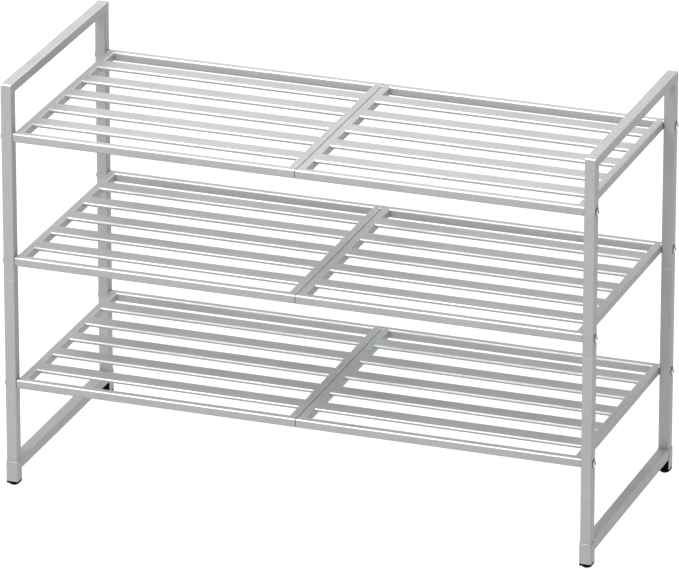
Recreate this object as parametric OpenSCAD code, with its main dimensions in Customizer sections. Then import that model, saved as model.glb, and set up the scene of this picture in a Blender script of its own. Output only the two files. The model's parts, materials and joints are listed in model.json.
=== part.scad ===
// Three-tier stackable shoe rack.
// Two end frames carry three slatted shelves. Each frame is two welded halves, upper and lower,
// that join in the legs on hidden spigots. Each shelf is two half panels that meet at the middle
// of the rack on hidden splice bars, and each panel is bolted to its end frame.
// Units are millimetres, +Z is up, +Y points to the rear, and the origin is on the floor
// under the middle of the rack.

/* [Overall] */
// Width over the outer faces of the legs
rack_w = 838; // [700:1:1000]
// Depth over the front and rear faces of the legs
rack_d = 358; // [340:1:420]
// Height from the floor to the top of the handle rails
rack_h = 583; // [540:1:700]

/* [End frames] */
// Outside width of the square leg tube
leg_w = 15.5; // [14:0.5:18]
// Wall of the leg, handle and bottom rail tubes
frame_wall = 1; // [0.8:0.1:1.4]
// Corner radius of the leg, handle and bottom rail tubes
frame_r = 1.6; // [1.5:0.1:3]
// Height of the handle rail tube
handle_h = 14; // [13:0.5:18]
// Height of the bottom rail tube
bottom_rail_h = 16; // [12:0.5:20]
// Radius of the outer corner where a leg meets its handle rail
top_corner_r = 2.5; // [1:0.1:3]
// Drop from the middle shelf to the joint between the upper and lower halves of an end frame
leg_joint_drop = 33.3; // [31:0.1:40]
// Length of the spigot inside the joint of a leg
spigot_l = 40; // [30:1:42]

/* [Stacking feet] */
// Height of the foot pad below the sleeve
foot_h = 6.5; // [5:0.5:10]
// Length of leg that the sleeve grips above its socket
sleeve_grip = 14.8; // [10:0.1:20]
// Wall of the stacking sleeve
sleeve_wall = 1; // [0.8:0.1:1.5]

/* [Shelves] */
// Drop from the top of the handle rails to the top shelf
top_drop = 69.4; // [60:0.1:90]
// Height from one shelf to the next
tier_pitch = 178.7; // [150:0.1:185]
// Width of the shelf rail tube
rail_w = 12; // [12:0.5:14]
// Height of the shelf rail tube
rail_h = 12.5; // [12:0.5:14]
// Wall of the shelf rail tube
rail_wall = 0.8; // [0.7:0.1:1.5]
// Corner radius of the shelf rail tube
rail_r = 2.5; // [2:0.1:3]
// Width of a slat, front to back
slat_w = 27.5; // [20:0.5:32]
// Thickness of a slat
slat_t = 5; // [4:0.1:6]
// Wall of the flat tube that a slat is cut from
slat_wall = 0.6; // [0.5:0.1:1.2]
// Number of slats in a panel
slat_count = 5; // [4:1:6]
// Gap between the two panels of a shelf
seam_gap = 0.9; // [0.4:0.1:1]
// Length of a splice bar
splice_l = 90; // [60:5:140]

/* [Fasteners] */
// Diameter of a shelf bolt's shank
bolt_d = 6; // [5:0.5:6]
// Length of a shelf bolt's shank
bolt_l = 26; // [24:0.5:27]
// Diameter of a shelf bolt's head
bolt_head_d = 13.5; // [11:0.5:14]
// Height of a shelf bolt's domed head
bolt_head_h = 3; // [2:0.1:3.5]
// Width across the flats of the hexagon socket
hex_socket = 4; // [3:0.5:4.5]
// Depth of the hexagon socket
hex_depth = 1.8; // [1.2:0.1:2]
// Length of the threaded plug inside a rail
plug_l = 13; // [12:0.5:20]
// Thickness of the threaded plug's rim
plug_rim = 0.4; // [0.4:0.1:1]

/* [Hidden] */
$fn = 48;
SIDES = ["left", "right"];
ENDS = ["front", "rear"];
TIERS = ["top", "middle", "bottom"];
FRAME_PIECES = ["front_upper_leg", "front_lower_leg", "rear_upper_leg", "rear_lower_leg",
                "leg_spigots", "handle_rail", "bottom_rail", "front_sleeve", "rear_sleeve",
                "front_foot", "rear_foot", "shelf_bolts", "threaded_plugs"];
PANEL_PIECES = ["front_rail", "rear_rail", "end_rail", "joint_rail", "slats"];

// Room left round a bolt's shank and round a part that slides into a tube
bolt_play = 0.2;
thread_play = 0.05;
slip_play = 0.1;
// Overrun of a cutting solid past the face it cuts
cut = 1;

// Leg axis, and the height where the leg ends on top of its socket
leg_x = (rack_w - leg_w) / 2;
leg_y = (rack_d - leg_w) / 2;
socket_depth = handle_h;
leg_bottom = foot_h + socket_depth;
bottom_rail_top = leg_bottom + bottom_rail_h;
leg_joint_z = tier_top("middle") - leg_joint_drop;
rail_inset = (leg_w - rail_w) / 2;
hole_r = bolt_d / 2 + bolt_play;

// A spigot slides into the bores of both halves of a leg
spigot_w = leg_w - 2 * frame_wall - 2 * slip_play;
spigot_r = max(frame_r - frame_wall - slip_play, 0.1);
spigot_wall = 1.2;

// A foot is a square plug, a square pad and a round domed sole
foot_play = 0.2;
pad_h = 3;
pad_r = 3;
sole_h = foot_h - pad_h;
sole_top_r = 7.8;
sole_bottom_r = 5;

// A panel runs from the seam to the rims of its threaded plugs
panel_x = seam_gap / 2;
panel_end = rack_w / 2 - leg_w - plug_rim;
panel_l = panel_end - panel_x;
rail_y = rack_d / 2 - rail_inset - rail_w / 2;
bay_d = 2 * rail_y - rail_w;
slat_gap = (bay_d - slat_count * slat_w) / (slat_count + 1);
slat_pitch = slat_w + slat_gap;
slat_l = panel_l - 2 * rail_w;

// Outside of the plugs and splice bars that slide into a rail, and the wall of a splice bar
rail_bore = [rail_w - 2 * rail_wall - 2 * slip_play, rail_h - 2 * rail_wall - 2 * slip_play];
rail_bore_r = rail_r - rail_wall - slip_play;
splice_wall = 0.8;

steel = "#b4b9bb";
steel_shelf = "#bcc1c3";
zinc = "#c9cdd0";
black_oxide = "#2b2c2e";
plastic = "#141414";

function tier_top(tier) = rack_h - top_drop - search([tier], TIERS)[0] * tier_pitch;
function bolt_z(tier) = tier_top(tier) - rail_h / 2;

// Everything is drawn for the right front quarter and mirrored to its side and end
module on_side(side) {
    mirror([side == "left" ? 1 : 0, 0, 0]) children();
}

module at_end(end) {
    mirror([0, end == "rear" ? 1 : 0, 0]) children();
}

// Turns a flat section in YZ into a solid along +X
module along_x(length) {
    rotate([90, 0, 90]) linear_extrude(length) children();
}

// Turns a flat section in XZ into a solid along Y, centred on the origin
module along_y(length) {
    rotate([90, 0, 0]) linear_extrude(length, center = true) children();
}

module rounded_rect(size, r) {
    square([size[0] - 2 * r, size[1]], center = true);
    square([size[0], size[1] - 2 * r], center = true);
    for (x = [-1, 1]) {
        for (y = [-1, 1]) {
            translate([x * (size[0] / 2 - r), y * (size[1] / 2 - r)]) circle(r);
        }
    }
}

module tube_section(size, r, wall) {
    difference() {
        rounded_rect(size, r);
        rounded_rect([size[0] - 2 * wall, size[1] - 2 * wall], r - wall);
    }
}

// End frame

// Cuts one side of the mitre between the front leg and the handle rail
module mitre_cut(keep_leg) {
    far_corner = keep_leg ? [2 * leg_w, handle_h] : [-leg_w, -2 * handle_h];
    translate([-cut, -rack_d / 2, rack_h])
        along_x(leg_w + 2 * cut)
            polygon([[-leg_w, handle_h], [2 * leg_w, -2 * handle_h], far_corner]);
}

// Rounds the outer corner of the mitre
module corner_cut() {
    translate([-cut, -rack_d / 2, rack_h])
        along_x(leg_w + 2 * cut)
            difference() {
                translate([-cut, -top_corner_r]) square(top_corner_r + cut);
                translate([top_corner_r, -top_corner_r]) circle(top_corner_r);
            }
}

// The stretch of a leg from bottom to top
module leg(side, end, bottom, top) {
    color(steel) on_side(side) at_end(end)
        difference() {
            translate([leg_x, -leg_y, bottom])
                linear_extrude(top - bottom)
                    tube_section([leg_w, leg_w], frame_r, frame_wall);
            translate([leg_x - leg_w / 2, 0, 0]) {
                mitre_cut(true);
                corner_cut();
            }
            for (tier = TIERS) {
                translate([leg_x - leg_w / 2 - cut, -leg_y, bolt_z(tier)])
                    rotate([0, 90, 0]) cylinder(h = leg_w + 2 * cut, r = hole_r);
            }
        }
}

// Tubes that join the upper and lower halves of an end frame, one in each leg
module leg_spigots(side) {
    color(black_oxide) on_side(side)
        for (end = ENDS) {
            at_end(end) translate([leg_x, -leg_y, leg_joint_z - spigot_l / 2])
                linear_extrude(spigot_l)
                    tube_section([spigot_w, spigot_w], spigot_r, spigot_wall);
        }
}

module handle_rail(side) {
    color(steel) on_side(side)
        difference() {
            translate([leg_x, 0, rack_h - handle_h / 2])
                along_y(rack_d) tube_section([leg_w, handle_h], frame_r, frame_wall);
            for (end = ENDS) {
                at_end(end) translate([leg_x - leg_w / 2, 0, 0]) {
                    mitre_cut(false);
                    corner_cut();
                }
            }
        }
}

module bottom_rail(side) {
    color(steel) on_side(side)
        translate([leg_x, 0, bottom_rail_top - bottom_rail_h / 2])
            along_y(rack_d - 2 * leg_w)
                tube_section([leg_w, bottom_rail_h], frame_r, frame_wall);
}

// A channel, open towards the other leg, that stands over the top corner of a rack below
module stacking_sleeve(side, end) {
    outer_w = leg_w + 2 * sleeve_wall;
    color(steel) on_side(side) at_end(end)
        translate([leg_x, -leg_y, foot_h])
            linear_extrude(socket_depth + sleeve_grip)
                difference() {
                    rounded_rect([outer_w, outer_w], frame_r + sleeve_wall);
                    rounded_rect([leg_w, leg_w], frame_r);
                    translate([-leg_w / 2, 0]) square(leg_w);
                    translate([-outer_w / 2, leg_w / 2]) square([outer_w, leg_w]);
                }
}

module foot(side, end) {
    plug_w = leg_w - 2 * foot_play;
    pad_w = leg_w + 2 * sleeve_wall;
    dome_z = (sole_top_r * sole_top_r + sole_h * sole_h - sole_bottom_r * sole_bottom_r) / 2 / sole_h;
    dome_r = norm([sole_bottom_r, dome_z]);
    color(plastic) on_side(side) at_end(end)
        translate([leg_x, -leg_y, 0]) {
            translate([0, 0, foot_h])
                linear_extrude(socket_depth) rounded_rect([plug_w, plug_w], frame_r);
            translate([0, 0, sole_h])
                linear_extrude(pad_h) rounded_rect([pad_w, pad_w], pad_r);
            intersection() {
                translate([0, 0, dome_z]) sphere(dome_r);
                cylinder(h = sole_h, r = sole_top_r);
            }
        }
}

// Shelf panels

module long_rail(tier, side, end) {
    color(steel_shelf) on_side(side) at_end(end)
        translate([panel_x, -rail_y, bolt_z(tier)])
            along_x(panel_l) tube_section([rail_w, rail_h], rail_r, rail_wall);
}

module cross_rail(tier, side, x) {
    color(steel_shelf) on_side(side)
        translate([x, 0, bolt_z(tier)])
            along_y(bay_d) tube_section([rail_w, rail_h], rail_r, rail_wall);
}

module slats(tier, side) {
    slat_x = panel_x + rail_w;
    first_y = -bay_d / 2 + slat_gap + slat_w / 2;
    color(steel_shelf) on_side(side)
        for (i = [0 : slat_count - 1]) {
            translate([slat_x, first_y + i * slat_pitch, tier_top(tier) - slat_t / 2])
                along_x(slat_l) flat_tube_section();
        }
}

// A flat tube with half round edges
module flat_tube_section() {
    flat_w = slat_w - slat_t;
    inner_t = slat_t - 2 * slat_wall;
    difference() {
        union() {
            square([flat_w, slat_t], center = true);
            for (y = [-1, 1]) {
                translate([y * flat_w / 2, 0]) circle(slat_t / 2);
            }
        }
        square([flat_w, inner_t], center = true);
        for (y = [-1, 1]) {
            translate([y * flat_w / 2, 0]) circle(inner_t / 2);
        }
    }
}

// Fixings

// Tubes that slide into both panels of a shelf across the seam, one front and one rear
module splice_bars(tier) {
    color(black_oxide)
        for (end = ENDS) {
            at_end(end) translate([-splice_l / 2, -rail_y, bolt_z(tier)])
                along_x(splice_l) tube_section(rail_bore, rail_bore_r, splice_wall);
        }
}

// Places a fixing at each of the six bolt axes of one end frame, with +X pointing outwards
module at_bolts(side) {
    on_side(side)
        for (tier = TIERS) {
            for (end = ENDS) {
                at_end(end) translate([0, -leg_y, bolt_z(tier)]) children();
            }
        }
}

module threaded_plugs(side) {
    rim_size = [rail_w - rail_wall, rail_h - rail_wall];
    color(black_oxide) at_bolts(side)
        difference() {
            union() {
                translate([panel_end - plug_l, 0, 0])
                    along_x(plug_l) rounded_rect(rail_bore, rail_bore_r);
                translate([panel_end, 0, 0])
                    along_x(plug_rim) rounded_rect(rim_size, rail_bore_r);
            }
            translate([panel_end - plug_l - cut, 0, 0])
                rotate([0, 90, 0])
                    cylinder(h = plug_l + plug_rim + 2 * cut, r = bolt_d / 2 + thread_play);
        }
}

// A domed head with a hexagon socket, on a plain shank
module shelf_bolts(side) {
    head_r = bolt_head_d / 2;
    dome_r = (head_r * head_r + bolt_head_h * bolt_head_h) / (2 * bolt_head_h);
    color(zinc) at_bolts(side)
        translate([rack_w / 2, 0, 0])
            rotate([0, 90, 0])
                difference() {
                    union() {
                        intersection() {
                            translate([0, 0, bolt_head_h - dome_r]) sphere(dome_r);
                            cylinder(h = bolt_head_h, r = head_r);
                        }
                        translate([0, 0, -bolt_l]) cylinder(h = bolt_l, r = bolt_d / 2);
                    }
                    translate([0, 0, bolt_head_h - hex_depth])
                        cylinder(h = hex_depth + cut, r = hex_socket / 2 / cos(30), $fn = 6);
                }
}

for (side = SIDES) {
    for (end = ENDS) {
        leg(side, end, leg_joint_z, rack_h);
        leg(side, end, leg_bottom, leg_joint_z);
        stacking_sleeve(side, end);
        foot(side, end);
    }
    leg_spigots(side);
    handle_rail(side);
    bottom_rail(side);
    shelf_bolts(side);
    threaded_plugs(side);
}
for (tier = TIERS) {
    for (side = SIDES) {
        panel = str(tier, "_", side);
        long_rail(tier, side, "front");
        long_rail(tier, side, "rear");
        cross_rail(tier, side, panel_end - rail_w / 2);
        cross_rail(tier, side, panel_x + rail_w / 2);
        slats(tier, side);
    }
    splice_bars(tier);
}
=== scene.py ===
"""Three-tier stackable shoe rack: the finish, the welds and the studio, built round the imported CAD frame.

Everything is in metres, in the frame of the CAD model: +Z up, +Y to the rear, origin on the floor.
"""
import json
import math
import random

import bmesh
import bpy
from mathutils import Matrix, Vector


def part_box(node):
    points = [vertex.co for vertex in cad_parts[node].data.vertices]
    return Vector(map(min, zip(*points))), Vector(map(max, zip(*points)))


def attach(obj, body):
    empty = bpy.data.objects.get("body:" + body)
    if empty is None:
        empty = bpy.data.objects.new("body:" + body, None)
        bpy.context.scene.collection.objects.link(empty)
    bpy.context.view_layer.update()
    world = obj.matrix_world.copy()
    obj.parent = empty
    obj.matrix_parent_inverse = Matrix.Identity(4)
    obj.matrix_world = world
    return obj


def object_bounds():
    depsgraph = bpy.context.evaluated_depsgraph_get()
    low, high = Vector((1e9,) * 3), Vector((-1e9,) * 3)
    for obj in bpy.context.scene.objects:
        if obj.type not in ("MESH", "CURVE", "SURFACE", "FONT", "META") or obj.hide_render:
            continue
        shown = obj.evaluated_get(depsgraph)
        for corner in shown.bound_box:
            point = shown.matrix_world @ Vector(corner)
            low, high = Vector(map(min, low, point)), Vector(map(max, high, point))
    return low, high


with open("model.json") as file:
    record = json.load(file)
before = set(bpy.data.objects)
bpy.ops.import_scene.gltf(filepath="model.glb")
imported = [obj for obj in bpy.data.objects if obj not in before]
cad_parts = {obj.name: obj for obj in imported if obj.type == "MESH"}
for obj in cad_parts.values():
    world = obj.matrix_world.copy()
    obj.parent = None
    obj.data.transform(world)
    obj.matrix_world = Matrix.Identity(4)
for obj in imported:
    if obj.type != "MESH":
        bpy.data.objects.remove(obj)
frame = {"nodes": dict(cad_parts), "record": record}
cad_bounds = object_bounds()

MM = 0.001
UP = Vector((0, 0, 1))
SIDES = ("left", "right")
ENDS = ("front", "rear")
TIERS = ("top", "middle", "bottom")


# Shader trees

class Shader:
    """One material's node tree. add() makes a node, and a socket given as an input is linked to it."""

    def __init__(self, name):
        self.material = bpy.data.materials.new(name)
        self.material.use_nodes = True
        self.tree = self.material.node_tree
        self.surface = self.tree.nodes["Principled BSDF"]

    def feed(self, socket, value):
        if isinstance(value, bpy.types.NodeSocket):
            self.tree.links.new(value, socket)
        else:
            socket.default_value = value

    def add(self, kind, inputs, output=0, **settings):
        node = self.tree.nodes.new("ShaderNode" + kind)
        for name, value in settings.items():
            setattr(node, name, value)
        for name, value in inputs.items():
            self.feed(node.inputs[name], value)
        return node.outputs[output]

    def split(self, vector):
        """The x, y and z of a vector."""
        node = self.tree.nodes.new("ShaderNodeSeparateXYZ")
        self.feed(node.inputs[0], vector)
        return node.outputs

    def point(self):
        """A place on the object, in metres, the same whichever piece it is on."""
        return self.add("TexCoord", {}, "Object")

    def normal(self):
        return self.add("NewGeometry", {}, "Normal")

    def noise(self, size, detail=2.0, roughness=0.5):
        """Noise from 0 to 1 whose blotches are about size metres across."""
        inputs = {"Vector": self.point(), "Scale": 1 / size, "Detail": detail, "Roughness": roughness}
        return self.add("TexNoise", inputs, "Fac")

    def math(self, operation, a, b=0.0):
        return self.add("Math", {0: a, 1: b}, operation=operation)

    def times(self, product, *factors):
        for factor in factors:
            product = self.math("MULTIPLY", product, factor)
        return product

    def spread(self, value, low, high, to_low=0.0, to_high=1.0, smooth=False):
        """Maps low..high to to_low..to_high, clamped."""
        inputs = {"Value": value, "From Min": low, "From Max": high, "To Min": to_low, "To Max": to_high}
        return self.add("MapRange", inputs, interpolation_type="SMOOTHSTEP" if smooth else "LINEAR")

    def vary(self, noise, to_low=0.0, to_high=1.0):
        """Stretches the middle of the noise, where most of it lies, over to_low..to_high."""
        return self.spread(noise, 0.3, 0.7, to_low, to_high)

    def fade(self, share, a, b):
        """The number a where share is 0, and b where it is 1."""
        return self.spread(share, 0.0, 1.0, a, b)

    def mix(self, share, a, b):
        """The colour a where share is 0, and b where it is 1."""
        return self.add("Mix", {0: share, 6: a, 7: b}, 2, data_type="RGBA")

    def edges(self):
        """Four masks from the surface's direction: rounded edges, facing up, down, and sideways along X.

        Flat faces of the tubes lie along the axes, so an edge is whatever does not.
        """
        normal = self.normal()
        size = self.split(self.add("VectorMath", {0: normal}, operation="ABSOLUTE"))
        largest = self.math("MAXIMUM", self.math("MAXIMUM", size[0], size[1]), size[2])
        height = self.split(normal)[2]
        rounded = self.spread(largest, 0.995, 0.9, smooth=True)
        up = self.spread(height, 0.1, 0.45, smooth=True)
        down = self.spread(height, -0.1, -0.45, smooth=True)
        sideways = self.spread(size[0], 0.2, 0.5, smooth=True)
        return rounded, up, down, sideways

    def bump(self, height, depth, strength=1.0, over=None):
        inputs = {"Height": height, "Distance": depth, "Strength": strength}
        if over is not None:
            inputs["Normal"] = over
        return self.add("Bump", inputs)

    def set(self, **values):
        """Sets the surface's own sockets. base_color stands for Base Color, and so on."""
        for name, value in values.items():
            label = {"ior_level": "Specular IOR Level"}.get(name, name.replace("_", " ").title())
            self.feed(self.surface.inputs[label], value)


def shade(tone, factor):
    """The tone made brighter or darker by a factor, as a colour."""
    return [factor * channel for channel in tone] + [1.0]


# Finishes

# How bright the powder coat is, next to its tone: on worn edges facing up, which are also a painted
# highlight; on the band at a leg joint, which is a painted highlight; and on edges facing down, which are
# painted shade
WORN_HIGHLIGHT_SHADE = 2.0
JOINT_HIGHLIGHT_SHADE = 1.18
DOWN_EDGE_PAINTED_SHADE = 0.8
# The painted highlight at a leg joint is at full strength in its core, and fades out to its reach
JOINT_HIGHLIGHT_CORE = 0.4 * MM
JOINT_HIGHLIGHT_REACH = 0.9 * MM


def powder_coat(name, tone, joint=None):
    """Silver powder coat: orange peel, speckle and clouds.

    On edges that face up the film is worn where shoes slide in and out. It is smoother and more metallic
    there, and painted much brighter, which is a painted highlight. The edges that run the same way as the
    shoes are rubbed less and get less of it. The edges that face down are painted darker, as shade. joint
    is a height where two lengths of leg were pushed together; a band there is painted lighter, as a
    highlight.
    """
    shader = Shader(name)
    clouds = shader.noise(60 * MM, detail=3.0)
    speckle = shader.noise(2.4 * MM, detail=3.0, roughness=0.6)
    film = shader.math("ADD", shader.times(clouds, 0.35), shader.times(speckle, 0.65))
    edge, up, down, sideways = shader.edges()
    patches = shader.vary(shader.noise(20 * MM, detail=3.0), 0.8, 1.0)
    rub_and_highlight = shader.times(patches, shader.fade(sideways, 1.0, 0.5))
    # Edges facing up: wear, and a painted highlight, brighter, smoother and more metallic
    wear_and_highlight = shader.times(edge, up, rub_and_highlight)

    colour = shader.mix(shader.vary(film), shade(tone, 0.9), shade(tone, 1.1))
    # Edges facing down painted darker: painted shade
    colour = shader.mix(shader.times(edge, down), colour, shade(tone, DOWN_EDGE_PAINTED_SHADE))
    if joint is not None:
        # A band round the leg joint painted lighter: a painted highlight on its rims
        height = shader.split(shader.point())[2]
        distance = shader.math("ABSOLUTE", shader.math("SUBTRACT", height, joint))
        joint_highlight = shader.spread(distance, JOINT_HIGHLIGHT_REACH, JOINT_HIGHLIGHT_CORE, smooth=True)
        colour = shader.mix(joint_highlight, colour, shade(tone, JOINT_HIGHLIGHT_SHADE))
    shader.set(base_color=shader.mix(wear_and_highlight, colour, shade(tone, WORN_HIGHLIGHT_SHADE)))

    shader.set(roughness=shader.spread(wear_and_highlight, 0.0, 0.6, shader.vary(film, 0.29, 0.37), 0.28))
    shader.set(metallic=shader.fade(wear_and_highlight, 0.14, 0.5), ior_level=0.02)
    peel = shader.bump(shader.noise(1.8 * MM, detail=1.5), 0.02 * MM, shader.fade(edge, 0.5, 0.05))
    grain = shader.noise(0.35 * MM, detail=1.0)
    shader.set(normal=shader.bump(grain, 0.005 * MM, shader.fade(edge, 0.4, 0.05), over=peel))
    return shader.material


def plated_steel(name, tone):
    """Bright zinc on bolts that point along X: fine scratches, faint blue-grey clouds, and grime.

    The crowns of the heads are clean. The rims and the sockets, which face away from X, are painted nearly
    black, duller and less metallic: painted shade, with some grime.
    """
    shader = Shader(name)
    scratches = shader.noise(1.7 * MM, detail=4.0)
    clouds = shader.spread(shader.noise(4 * MM, detail=3.0), 0.35, 0.7)
    bluer = [0.90 * tone[0], 0.93 * tone[1], 0.97 * tone[2], 1.0]
    facing = shader.math("ABSOLUTE", shader.split(shader.normal())[0])
    patches = shader.vary(shader.noise(0.9 * MM, detail=3.0), 0.8, 1.0)
    # Rims and sockets facing away from X painted nearly black: painted shade, with some grime
    rim_shade_and_grime = shader.times(shader.spread(facing, 0.93, 0.72, smooth=True), patches)

    plate = shader.mix(clouds, shade(tone, 1.0), bluer)
    shader.set(base_color=shader.mix(rim_shade_and_grime, plate, (0.035, 0.034, 0.032, 1.0)))
    shader.set(metallic=shader.fade(rim_shade_and_grime, 1.0, 0.3), ior_level=0.1)
    shader.set(roughness=shader.math("ADD", shader.vary(scratches, 0.22, 0.34), shader.times(rim_shade_and_grime, 0.25)))
    shader.set(normal=shader.bump(scratches, 0.01 * MM, 0.3))
    return shader.material


def black_oxide(name):
    """Blackened steel: a thin oily film with faint brown clouds."""
    shader = Shader(name)
    clouds = shader.spread(shader.noise(5 * MM, detail=3.0), 0.35, 0.7)
    shader.set(base_color=shader.mix(clouds, (0.012, 0.012, 0.013, 1.0), (0.022, 0.020, 0.018, 1.0)))
    shader.set(roughness=shader.fade(clouds, 0.42, 0.55), ior_level=0.2)
    shader.set(normal=shader.bump(shader.noise(0.5 * MM, detail=2.0), 0.01 * MM, 0.4))
    return shader.material


def moulded_plastic(name):
    """Black moulded plastic: a fine spark-eroded grain, dulled and scuffed grey near the floor."""
    shader = Shader(name)
    near_floor = shader.spread(shader.split(shader.point())[2], 1.5 * MM, 0.0, smooth=True)
    scuffs = shader.times(near_floor, shader.spread(shader.noise(1.6 * MM, detail=5.0), 0.5, 0.75))
    shader.set(base_color=shader.mix(scuffs, (0.004, 0.004, 0.0042, 1.0), (0.02, 0.02, 0.021, 1.0)))
    shader.set(roughness=shader.vary(shader.noise(3 * MM, detail=3.0), 0.50, 0.64), ior_level=0.02)
    shader.set(normal=shader.bump(shader.noise(0.3 * MM, detail=2.0), 0.02 * MM, 0.5))
    return shader.material


COAT_TONE = (0.381, 0.390, 0.395)
ZINC_TONE = (0.70, 0.71, 0.72)
LEG_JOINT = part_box("left_front_lower_leg")[1].z
finishes = {
    "frame_coat": powder_coat("frame_powder_coat", COAT_TONE, joint=LEG_JOINT),
    "shelf_coat": powder_coat("shelf_powder_coat", COAT_TONE),
    "bolt_steel": plated_steel("bolt_zinc", ZINC_TONE),
    "insert_steel": black_oxide("insert_black_oxide"),
    "foot_plastic": moulded_plastic("foot_black_plastic"),
}


# CAD nodes: softened edges and their finish

# Vertices this close are one, faces within this angle are one flat, and edges over this angle are sharp
SAME_POINT = 0.002 * MM
FLAT_WITHIN = math.radians(0.5)
SHARP_FROM = math.radians(35)
EDGE_ROUNDING = {"frame_coat": 0.3 * MM, "shelf_coat": 0.2 * MM, "bolt_steel": 0.35 * MM,
                 "insert_steel": 0.12 * MM, "foot_plastic": 0.4 * MM}


def shade_smooth_group():
    """Geometry nodes that shade every face smooth, so that weighted normals can shape the edges."""
    group = bpy.data.node_groups.new("shade_all_smooth", "GeometryNodeTree")
    group.interface.new_socket("Geometry", in_out="INPUT", socket_type="NodeSocketGeometry")
    group.interface.new_socket("Geometry", in_out="OUTPUT", socket_type="NodeSocketGeometry")
    last = group.nodes.new("NodeGroupInput").outputs[0]
    for domain in ("FACE", "EDGE"):
        node = group.nodes.new("GeometryNodeSetShadeSmooth")
        node.domain = domain
        group.links.new(last, node.inputs["Geometry"])
        last = node.outputs["Geometry"]
    group.links.new(last, group.nodes.new("NodeGroupOutput").inputs[0])
    return group


def soften(piece, width, smooth_group):
    """Rounds the piece's sharp edges by width, with flat faces left flat."""
    join = piece.modifiers.new("join_faces", "WELD")
    join.merge_threshold = SAME_POINT
    merge = piece.modifiers.new("merge_flats", "DECIMATE")
    merge.decimate_type = "DISSOLVE"
    merge.angle_limit = FLAT_WITHIN
    smooth = piece.modifiers.new("smooth", "NODES")
    smooth.node_group = smooth_group
    edge = piece.modifiers.new("edges", "BEVEL")
    edge.width = width
    edge.segments = 3
    edge.limit_method = "ANGLE"
    edge.angle_limit = SHARP_FROM
    normals = piece.modifiers.new("normals", "WEIGHTED_NORMAL")
    normals.keep_sharp = False


all_smooth = shade_smooth_group()
slot_of = {part["node"]: part["material_slot"] for part in frame["record"]["subparts"]}
for node, piece in frame["nodes"].items():
    piece.material_slots[0].material = finishes[slot_of[node]]
    soften(piece, EDGE_ROUNDING[slot_of[node]], all_smooth)


# Welds and rolled lips

# The CAD model's rounded edges, and the wall of its sleeves
SLAT_EDGE, RAIL_EDGE, SLEEVE_CORNER = 1.0 * MM, 2.5 * MM, 2.6 * MM
SLEEVE_WALL = 1.0 * MM
# Beads: their radii, the share of a slat's or rail's width that they run along, and the share of a frame
# tube's width that they leave free at each end
SLAT_BEAD, RAIL_BEAD, FRAME_BEAD = 1.1 * MM, 1.3 * MM, 1.6 * MM
SLAT_BEAD_SHARE, RAIL_BEAD_SHARE, FRAME_BEAD_INSET = 0.7, 0.55, 0.2
# Ripples: their pitch along a bead, their sizes next to its radius, and how much each one tapers
RIPPLE_PITCH = 1.9 * MM
RIPPLE_SIZES = (0.92, 1.06)
RIPPLE_TAPER = 0.14
RINGS_PER_RIPPLE = 4
RING_SIDES = 8
# Fills: how far they lap over the rail and the member, and the share of a rounded side that they leave free
FILL_LAP = 0.1 * MM
SLAT_SIDE_FREE, RAIL_SIDE_FREE = 0.4, 0.3
# How far a fill's top is below the tops of the tubes: at the member, on the ground part, and at the rail
MEMBER_DIP, GROUND_DIPS, RAIL_DIP = 0.03, (0.03, 0.11), 0.04  # in millimetres
# How blunt the ends of beads and fills are: 2 would be an ellipse's ends, and more is squarer
BEAD_BLUNTNESS, FILL_BLUNTNESS = 8, 10
# Lips: steps round a corner, and how far the roll's middle is below the sleeve's top, in radii of the roll
LIP_STEPS = 4
LIP_SINK = 0.2
# The vertices at a bead's closed ends are within this distance, and shading breaks at creases this sharp
TIP_SIZE = 0.005 * MM
CREASE = math.radians(50)
rng = random.Random(7)


def add_ring(mesh, centre, radius, first, second):
    """A ring of vertices round centre, in the plane of the unit vectors first and second."""
    turns = [math.tau * k / RING_SIDES for k in range(RING_SIDES)]
    return [mesh.verts.new(centre + radius * (math.cos(turn) * first + math.sin(turn) * second))
            for turn in turns]


def add_skin(mesh, rings):
    """Faces from each ring of vertices to the next."""
    for a, b in zip(rings, rings[1:]):
        for k in range(len(a)):
            n = (k + 1) % len(a)
            mesh.faces.new((a[k], a[n], b[n], b[k]))


def add_bead(mesh, start, end, radius):
    """A straight bead of weld from start to end: overlapping ripples, with rounded ends."""
    start, end = Vector(start), Vector(end)
    length = (end - start).length
    along = (end - start) / length
    first = along.orthogonal().normalized()
    second = along.cross(first)
    ripples = max(2, round(length / RIPPLE_PITCH))
    sizes = [rng.uniform(*RIPPLE_SIZES) for _ in range(ripples + 1)]
    count = ripples * RINGS_PER_RIPPLE
    rings = []
    for i in range(count + 1):
        share = i / count
        ripple, phase = divmod(i, RINGS_PER_RIPPLE)
        ends = math.sqrt(max(0.0, 1 - (2 * share - 1) ** BEAD_BLUNTNESS))
        size = radius * ends * sizes[ripple] * (1 - RIPPLE_TAPER * (phase / RINGS_PER_RIPPLE) ** 2)
        rings.append(add_ring(mesh, start + along * (length * share), size, first, second))
    add_skin(mesh, rings)


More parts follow.
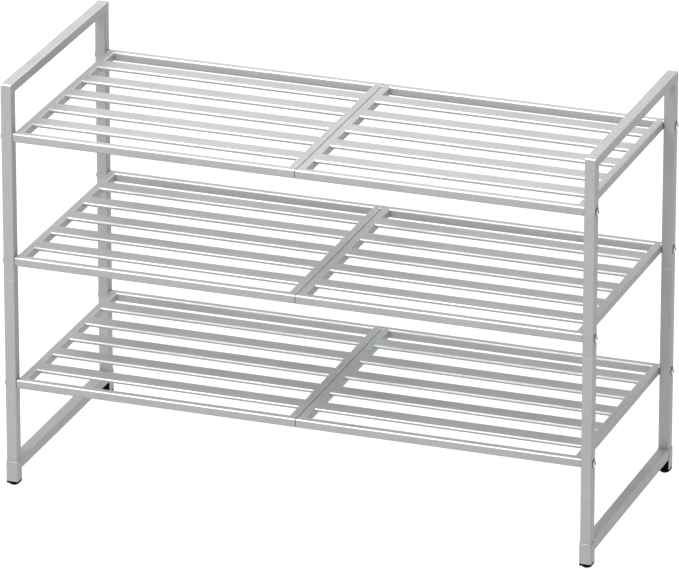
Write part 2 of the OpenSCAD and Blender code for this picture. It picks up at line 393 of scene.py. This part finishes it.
def add_fill(mesh, end, into, half_width, groove):
    """Weld ground flush where a member ends at a rail's rounded edge: it fills the groove of that radius.

    end is the middle of the member's top edge, into points from the member into the rail.
    """
    end, into = Vector(end), Vector(into)
    side = UP.cross(into)
    across = (-FILL_LAP, 0.25 * groove, 0.5 * groove, 0.75 * groove, groove + FILL_LAP)
    underside = groove + 2 * FILL_LAP
    count = 2 * round(2 * half_width / RIPPLE_PITCH)
    rings = []
    for i in range(count + 1):
        place = 2 * i / count - 1
        middle = end + side * (place * half_width)
        drop = groove * (1 - math.sqrt(1 - place ** FILL_BLUNTNESS))
        ground = [rng.uniform(*GROUND_DIPS) for _ in across[1:-1]]
        dips = [drop + dip * MM for dip in (MEMBER_DIP, *ground, RAIL_DIP)]
        ring = [middle + into * u - UP * dip for u, dip in zip(across, dips)]
        ring += [middle + into * u - UP * underside for u in (across[-1], across[0])]
        rings.append([mesh.verts.new(point) for point in ring])
    add_skin(mesh, rings)
    mesh.faces.new(rings[0])
    mesh.faces.new(rings[-1])


def add_lip(mesh, low, high, corner, radius):
    """A rolled lip round the top of a square sleeve, inside the sleeve's outline."""
    middle, top = (low + high) / 2, high.z - LIP_SINK * radius
    reach = Vector(((high.x - low.x) / 2 - corner, (high.y - low.y) / 2 - corner, 0))
    rings = []
    for quarter, (sx, sy) in enumerate(((1, 1), (-1, 1), (-1, -1), (1, -1))):
        pivot = Vector((middle.x + sx * reach.x, middle.y + sy * reach.y, top))
        for step in range(LIP_STEPS + 1):
            turn = math.radians(90 * (quarter + step / LIP_STEPS))
            out = Vector((math.cos(turn), math.sin(turn), 0))
            rings.append(add_ring(mesh, pivot + out * (corner - radius), radius, out, UP))
    add_skin(mesh, rings + rings[:1])


def make_piece(name, slot, fill):
    """One piece of the rack in this slot's finish. fill(mesh) adds its geometry."""
    mesh = bmesh.new()
    fill(mesh)
    bmesh.ops.remove_doubles(mesh, verts=mesh.verts, dist=TIP_SIZE)
    bmesh.ops.recalc_face_normals(mesh, faces=mesh.faces)
    data = bpy.data.meshes.new(name)
    mesh.to_mesh(data)
    mesh.free()
    data.shade_smooth()
    data.set_sharp_from_angle(angle=CREASE)
    data.materials.append(finishes[slot])
    piece = bpy.data.objects.new(name, data)
    bpy.context.scene.collection.objects.link(piece)
    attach(piece, "root")


def solids(node):
    """The lowest and highest corners of each separate solid in a CAD node, sorted by the lowest."""
    mesh = bmesh.new()
    mesh.from_mesh(frame["nodes"][node].data)
    bmesh.ops.remove_doubles(mesh, verts=mesh.verts, dist=SAME_POINT)
    waiting = set(mesh.verts)
    boxes = []
    while waiting:
        found = [waiting.pop()]
        for vertex in found:
            for edge in vertex.link_edges:
                other = edge.other_vert(vertex)
                if other in waiting:
                    waiting.remove(other)
                    found.append(other)
        corners = [[pick(vertex.co[axis] for vertex in found) for axis in range(3)] for pick in (min, max)]
        boxes.append(corners)
    mesh.free()
    return [(Vector(low), Vector(high)) for low, high in sorted(boxes)]


def weld_panel(mesh, panel):
    """The welds of one shelf panel: beads on the underside, and the tops filled and ground flush."""
    for low, high in solids(panel + "_slats"):
        middle, half = (low.y + high.y) / 2, (high.y - low.y) / 2
        reach = SLAT_BEAD_SHARE * half
        for x, into in ((low.x, -1), (high.x, 1)):
            add_bead(mesh, (x, middle - reach, low.z), (x, middle + reach, low.z), SLAT_BEAD)
            add_fill(mesh, (x, middle, high.z), (into, 0, 0), half - SLAT_SIDE_FREE * SLAT_EDGE, RAIL_EDGE)
    for rail in ("end_rail", "joint_rail"):
        low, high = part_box(f"{panel}_{rail}")
        middle, half = (low.x + high.x) / 2, (high.x - low.x) / 2
        reach = RAIL_BEAD_SHARE * half
        for y, into in ((low.y, -1), (high.y, 1)):
            add_bead(mesh, (middle - reach, y, low.z), (middle + reach, y, low.z), RAIL_BEAD)
            add_fill(mesh, (middle, y, high.z), (0, into, 0), half - RAIL_SIDE_FREE * RAIL_EDGE, RAIL_EDGE)


def weld_frame(mesh, side):
    """The welds of one end frame: in the corners of the legs with the handle rail and the bottom rail."""
    low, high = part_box(side + "_bottom_rail")
    inset = (high.x - low.x) * FRAME_BEAD_INSET
    handle_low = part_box(side + "_handle_rail")[0]
    for y in (low.y, high.y):
        for z in (low.z, handle_low.z):
            add_bead(mesh, (low.x + inset, y, z), (high.x - inset, y, z), FRAME_BEAD)


def lip_sleeves(mesh, side):
    """The rolled lips of one end frame's two sleeves."""
    for end in ENDS:
        low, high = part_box(f"{side}_{end}_sleeve")
        add_lip(mesh, low, high, SLEEVE_CORNER, SLEEVE_WALL / 2)


for side in SIDES:
    make_piece(side + "_frame_welds", "frame_coat", lambda mesh: weld_frame(mesh, side))
    make_piece(side + "_sleeve_lips", "frame_coat", lambda mesh: lip_sleeves(mesh, side))
    for tier in TIERS:
        panel = f"{tier}_{side}"
        make_piece(panel + "_welds", "shelf_coat", lambda mesh: weld_panel(mesh, panel))


# Studio: a pale floor, soft light and the camera

FLOOR_SIZE = 40.0
FLOOR_GLOW = 0.99
SKY_STRENGTH = 0.40
LAMP_DISTANCE = 3.0
LENS, SENSOR = 405.0, 36.0
CAMERA_AZIMUTH, CAMERA_ELEVATION, CAMERA_DISTANCE = 19.9, 21.74, 10.348
AIM_OFFSET = Vector((0.0, -2.6, -6.3)) * MM
VIEW_DEPTH = 100.0
rack_middle = (cad_bounds[0] + cad_bounds[1]) / 2


def add_floor():
    mesh = bmesh.new()
    bmesh.ops.create_grid(mesh, x_segments=1, y_segments=1, size=FLOOR_SIZE / 2)
    data = bpy.data.meshes.new("floor")
    mesh.to_mesh(data)
    mesh.free()
    shader = Shader("floor_sweep")
    pale = shader.mix(shader.noise(0.5, detail=2.0), (0.11, 0.11, 0.11, 1.0), (0.13, 0.13, 0.13, 1.0))
    shader.set(base_color=pale, roughness=0.9)
    shader.set(emission_color=(1.0, 1.0, 1.0, 1.0), emission_strength=FLOOR_GLOW)
    data.materials.append(shader.material)
    floor = bpy.data.objects.new("floor", data)
    bpy.context.scene.collection.objects.link(floor)


def towards(azimuth, elevation):
    """The unit vector from the rack towards a place in the studio.

    Azimuth 0 is in front of the rack, and 90 is to the right.
    """
    a, e = math.radians(azimuth), math.radians(elevation)
    return Vector((math.sin(a) * math.cos(e), -math.cos(a) * math.cos(e), math.sin(e)))


def aim(thing, centre, azimuth, elevation, distance):
    """Puts thing at a distance from centre, looking at it."""
    direction = towards(azimuth, elevation)
    thing.location = centre + distance * direction
    thing.rotation_mode = "QUATERNION"
    thing.rotation_quaternion = (-direction).to_track_quat("-Z", "Y")


def add_softbox(name, azimuth, elevation, width, height, brightness):
    """A soft light. Its brightness is what a white card would need to look as bright."""
    light = bpy.data.lights.new(name, "AREA")
    light.shape = "RECTANGLE"
    light.size, light.size_y = width, height
    light.energy = brightness * math.pi * width * height
    box = bpy.data.objects.new(name, light)
    bpy.context.scene.collection.objects.link(box)
    aim(box, rack_middle, azimuth, elevation, LAMP_DISTANCE)


def add_sky():
    world = bpy.data.worlds.new("studio")
    world.use_nodes = True
    background = world.node_tree.nodes["Background"]
    background.inputs["Color"].default_value = (1.0, 1.0, 1.0, 1.0)
    background.inputs["Strength"].default_value = SKY_STRENGTH
    bpy.context.scene.world = world


def add_camera():
    data = bpy.data.cameras.new("camera")
    data.lens, data.sensor_width = LENS, SENSOR
    data.clip_end = VIEW_DEPTH
    camera = bpy.data.objects.new("camera", data)
    bpy.context.scene.collection.objects.link(camera)
    aim(camera, rack_middle + AIM_OFFSET, CAMERA_AZIMUTH, CAMERA_ELEVATION, CAMERA_DISTANCE)
    bpy.context.scene.camera = camera


add_floor()
add_sky()
add_softbox("key", azimuth=-36, elevation=54, width=1.2, height=1.0, brightness=7.8)
add_softbox("front", azimuth=-10, elevation=20, width=2.4, height=1.2, brightness=2.8)
add_softbox("back_left", azimuth=-150, elevation=50, width=2.4, height=2.0, brightness=3.3)
add_softbox("overhead", azimuth=0, elevation=90, width=2.6, height=2.0, brightness=3.15)
add_camera()
bpy.context.scene.view_settings.view_transform = "Standard"
